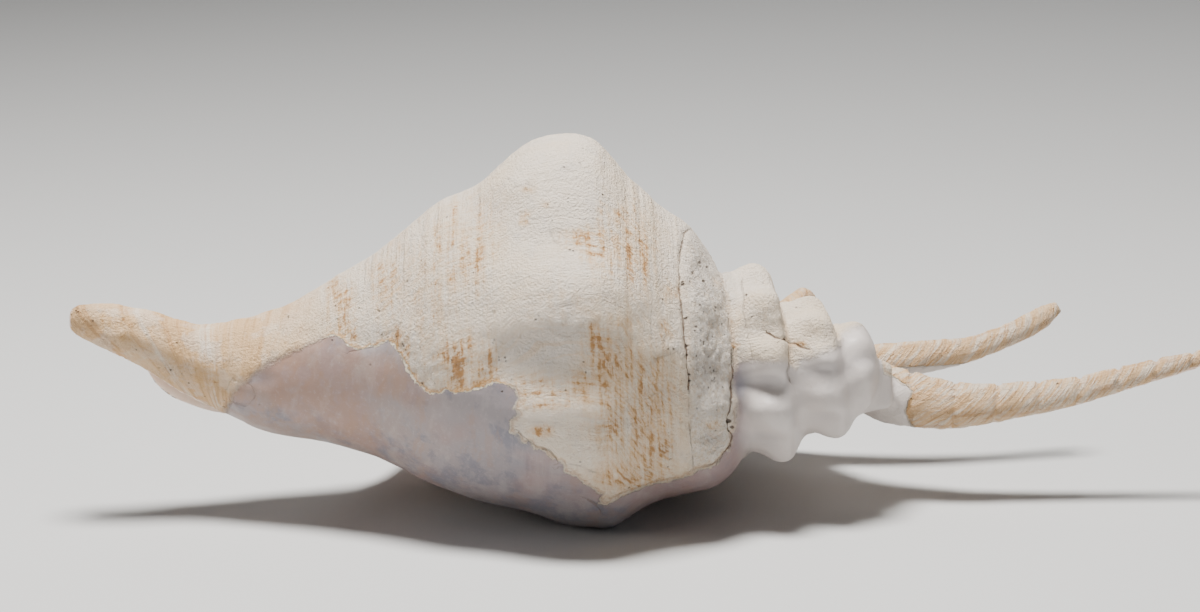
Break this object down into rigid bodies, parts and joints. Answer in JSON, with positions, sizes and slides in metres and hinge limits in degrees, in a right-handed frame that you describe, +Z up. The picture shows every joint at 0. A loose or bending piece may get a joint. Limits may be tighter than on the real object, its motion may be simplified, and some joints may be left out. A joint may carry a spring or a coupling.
{
  "type": "spider conch shell",
  "caption": "Bleached spider conch shell with a tapering canal, a humped back, a stepped spire and a flared lip drawn out into long curved fingers, lying on its mouth.",
  "frame": {"origin": "under the middle of the whole shell's box, on the plane that it rests on", "axes": "+X along the coiling axis from the canal towards the spire, +Y towards the flared lip's fingers, +Z up through the shell's back"},
  "size_m": [0.3006, 0.1882, 0.1006],
  "materials": {
    "shell": "chalky bleached shell, half gloss where the glaze is left"
  },
  "bodies": {
    "root": {"shell": "shell"}
  },
  "joints": []
}
